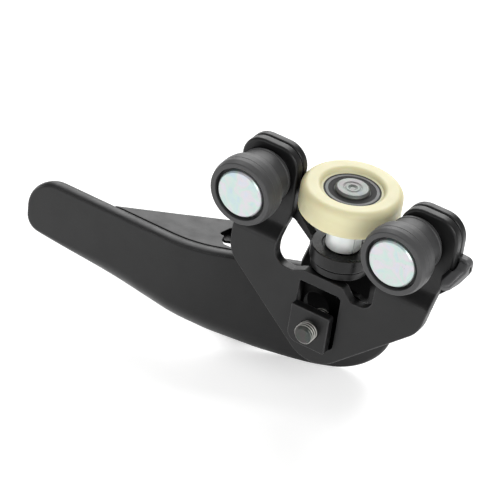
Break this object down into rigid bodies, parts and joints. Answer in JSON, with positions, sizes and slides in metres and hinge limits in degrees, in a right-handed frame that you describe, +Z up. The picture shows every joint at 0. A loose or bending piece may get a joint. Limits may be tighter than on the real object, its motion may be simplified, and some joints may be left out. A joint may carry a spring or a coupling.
{
  "type": "sliding door roller carriage",
  "caption": "Roller carriage on a swinging arm: flanged load rollers on pins, an upright nylon guide roller, pressed plates and a stop screw.",
  "frame": {"origin": "guide roller's upright axis at the height of the load roller axes", "axes": "+X along the rail, -Y towards the load pins' heads, +Z up"},
  "size_m": [0.1892, 0.0618, 0.1053],
  "materials": {
    "plate_paint": "satin black e-coat",
    "arm_paint": "satin black e-coat",
    "zinc": "zinc plated, faintly bluish",
    "steel": "turned steel",
    "moulded_grey": "moulded, matte",
    "nylon": "ivory nylon, soft sheen",
    "shield_dark": "dark pressed steel",
    "collar_black": "black oxide",
    "ball_steel": "polished",
    "bronze": "sintered bronze"
  },
  "bodies": {
    "arm": {"arm_blade": "arm_paint", "arm_web": "arm_paint", "door_weld_nuts": "steel", "hinge_bracket": "arm_paint", "pivot_bush": "bronze"},
    "carriage": {"front_plate": "plate_paint", "rear_plate": "plate_paint", "window_doubler": "plate_paint", "stop_screw": "steel", "pivot_pin": "zinc", "pivot_sleeve": "zinc", "pivot_collar": "collar_black", "pivot_thrust_washer": "bronze", "pivot_lower_washer": "zinc", "guide_washer": "zinc", "guide_inner_race": "steel", "left_load_pin": "zinc", "left_pin_washer": "zinc", "left_load_liner": "steel", "left_load_washer": "steel", "right_load_pin": "zinc", "right_pin_washer": "zinc", "right_load_liner": "steel", "right_load_washer": "steel"},
    "left_roller": {"left_load_roller": "moulded_grey"},
    "right_roller": {"right_load_roller": "moulded_grey"},
    "guide_roller": {"guide_tyre": "nylon", "guide_outer_race": "steel", "guide_lower_shield": "shield_dark", "guide_upper_shield": "shield_dark"},
    "ball_cage": {"guide_bearing_balls": "ball_steel", "guide_bearing_cage": "bronze"}
  },
  "joints": [
    {"name": "carriage_swing", "type": "hinge", "parent": "arm", "child": "carriage", "pos_m": [0, 0, -0.0287], "axis": [0, 0, 1], "range_deg": [-20, 25]},
    {"name": "left_roller_spin", "type": "hinge", "parent": "carriage", "child": "left_roller", "pos_m": [-0.0328, -0.0215, 0], "axis": [0, 1, 0], "continuous": true},
    {"name": "right_roller_spin", "type": "hinge", "parent": "carriage", "child": "right_roller", "pos_m": [0.0328, -0.0215, 0], "axis": [0, 1, 0], "continuous": true},
    {"name": "guide_roller_spin", "type": "hinge", "parent": "carriage", "child": "guide_roller", "pos_m": [0, 0, 0], "axis": [0, 0, 1], "continuous": true},
    {"name": "ball_cage_spin", "type": "hinge", "parent": "carriage", "child": "ball_cage", "pos_m": [0, 0, 0], "axis": [0, 0, 1], "continuous": true}
  ],
  "couplings": [
    {"joint": "ball_cage_spin", "follows": "guide_roller_spin", "ratio": 0.5963}
  ]
}
